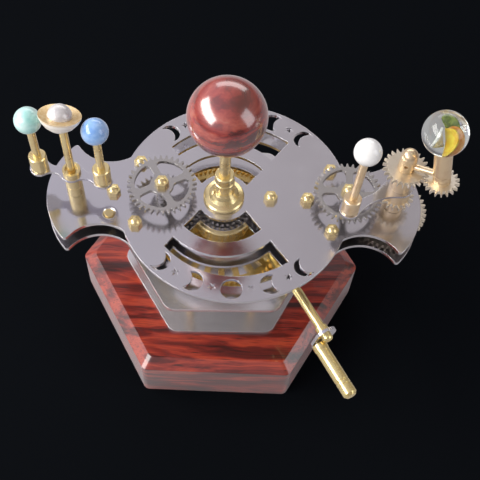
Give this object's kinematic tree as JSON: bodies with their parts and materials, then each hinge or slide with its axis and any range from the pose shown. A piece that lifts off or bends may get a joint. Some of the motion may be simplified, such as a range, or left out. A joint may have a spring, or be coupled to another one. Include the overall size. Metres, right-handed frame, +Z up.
{
  "type": "orrery",
  "caption": "Hand-cranked orrery: a winged two-plate carrier of gear trains turns about a stone sun on a hexagonal wooden base, with ringed planet, moons and a marble planet.",
  "frame": {"origin": "centre of the wooden base's underside, on the arbor's axis", "axes": "+Z up along the arbor, +X along the carrier's right wing at rest, -Y towards the front flat side of the base"},
  "size_m": [0.1593, 0.1237, 0.14],
  "materials": {
    "lacquered_wood": "gloss lacquer",
    "polished_steel": "polished",
    "steel": "satin",
    "brass": "polished",
    "red_stone": "polished",
    "marbled_glass": "polished, with coloured swirls",
    "pearl": "lustre",
    "mint_stone": "polished",
    "blue_stone": "polished",
    "white_stone": "polished",
    "gilt": "satin"
  },
  "bodies": {
    "base": {"wood_base": "lacquered_wood", "lower_hex_plate": "polished_steel", "upper_hex_plate": "polished_steel", "hex_pillars": "brass", "base_bolts": "steel", "deck_screws": "steel", "central_arbor": "steel", "sun_gear": "steel", "crank_bearing": "brass", "sun_hub": "brass", "sun_rod": "brass", "sun_ball": "red_stone"},
    "crank": {"crank_shaft": "brass", "crank_pinion": "brass", "crank_web": "polished_steel", "crank_nut": "brass", "handle_pin": "steel"},
    "handle": {"crank_handle": "brass"},
    "carrier": {"crown_wheel": "brass", "carrier_drum": "brass", "lower_carrier_plate": "polished_steel", "upper_carrier_plate": "polished_steel", "carrier_pillars": "brass", "carrier_screws": "steel", "carrier_nuts": "brass", "idler_pins": "steel", "saturn_rod": "brass", "saturn_ring": "gilt", "saturn_bead": "pearl"},
    "left_wheel": {"left_wheel_shaft": "steel", "left_wheel_gear": "brass", "left_wheel": "brass", "left_wheel_nut": "brass"},
    "left_idler": {"left_idler_gear": "brass"},
    "saturn_moons": {"saturn_sleeve": "brass", "saturn_gear": "brass", "saturn_moon_arm": "polished_steel", "saturn_moon_stems": "brass", "mint_moon": "mint_stone", "blue_moon": "blue_stone"},
    "inner_idler": {"inner_idler_gear": "brass"},
    "outer_idler": {"outer_idler_gear": "brass"},
    "right_wheel": {"right_wheel_shaft": "steel", "right_wheel_gear": "brass", "right_wheel_pinion": "brass", "right_wheel": "brass", "right_wheel_nut": "brass"},
    "white_moon": {"moon_sleeve": "brass", "moon_gear": "brass", "white_moon_arm": "polished_steel", "white_moon_stem": "brass", "white_moon": "white_stone", "upper_gear": "brass"},
    "outer_arm": {"arm_shaft": "steel", "arm_gear": "brass", "outer_arm": "brass"},
    "planet": {"planet_gear": "brass", "planet_hub": "brass", "planet_post": "brass", "planet_marble": "marbled_glass"}
  },
  "joints": [
    {"name": "carrier_turn", "type": "hinge", "parent": "base", "child": "carrier", "pos_m": [0, 0, 0.06], "axis": [0, 0, 1], "continuous": true},
    {"name": "crank_turn", "type": "hinge", "parent": "base", "child": "crank", "pos_m": [0.00931, 0.00548, 0.0566], "axis": [0.5075, -0.8616, 0], "continuous": true},
    {"name": "handle_spin", "type": "hinge", "parent": "crank", "child": "handle", "pos_m": [0.00682, 0.00402, 0.05216], "axis": [0.5075, -0.8616, 0], "continuous": true},
    {"name": "left_wheel_turn", "type": "hinge", "parent": "carrier", "child": "left_wheel", "pos_m": [-0.0238, 0, 0.07], "axis": [0, 0, 1], "continuous": true},
    {"name": "left_idler_turn", "type": "hinge", "parent": "carrier", "child": "left_idler", "pos_m": [-0.0427, 0, 0.07], "axis": [0, 0, 1], "continuous": true},
    {"name": "saturn_moons_turn", "type": "hinge", "parent": "carrier", "child": "saturn_moons", "pos_m": [-0.0574, 0, 0.08], "axis": [0, 0, 1], "continuous": true},
    {"name": "inner_idler_turn", "type": "hinge", "parent": "carrier", "child": "inner_idler", "pos_m": [0.0182, 0, 0.07], "axis": [0, 0, 1], "continuous": true},
    {"name": "outer_idler_turn", "type": "hinge", "parent": "carrier", "child": "outer_idler", "pos_m": [0.03255, 0, 0.07], "axis": [0, 0, 1], "continuous": true},
    {"name": "right_wheel_turn", "type": "hinge", "parent": "carrier", "child": "right_wheel", "pos_m": [0.0476, 0, 0.075], "axis": [0, 0, 1], "continuous": true},
    {"name": "white_moon_turn", "type": "hinge", "parent": "carrier", "child": "white_moon", "pos_m": [0.06615, 0, 0.085], "axis": [0, 0, 1], "continuous": true},
    {"name": "outer_arm_turn", "type": "hinge", "parent": "carrier", "child": "outer_arm", "pos_m": [0.06615, 0, 0.09], "axis": [0, 0, 1], "continuous": true},
    {"name": "planet_spin", "type": "hinge", "parent": "outer_arm", "child": "planet", "pos_m": [0.07851, -0.00603, 0.10113], "axis": [-0.1715, 0.0836, 0.9816], "continuous": true}
  ],
  "couplings": [
    {"joint": "crank_turn", "follows": "carrier_turn", "ratio": 10.5},
    {"joint": "left_wheel_turn", "follows": "carrier_turn", "ratio": 0.7},
    {"joint": "left_idler_turn", "follows": "carrier_turn", "ratio": -2},
    {"joint": "saturn_moons_turn", "follows": "carrier_turn", "ratio": 1},
    {"joint": "inner_idler_turn", "follows": "carrier_turn", "ratio": 1.1667},
    {"joint": "outer_idler_turn", "follows": "carrier_turn", "ratio": -1.6471},
    {"joint": "right_wheel_turn", "follows": "carrier_turn", "ratio": 1.0769},
    {"joint": "white_moon_turn", "follows": "carrier_turn", "ratio": -2.2805},
    {"joint": "outer_arm_turn", "follows": "carrier_turn", "ratio": -0.4657},
    {"joint": "planet_spin", "follows": "carrier_turn", "ratio": 2.4198}
  ]
}
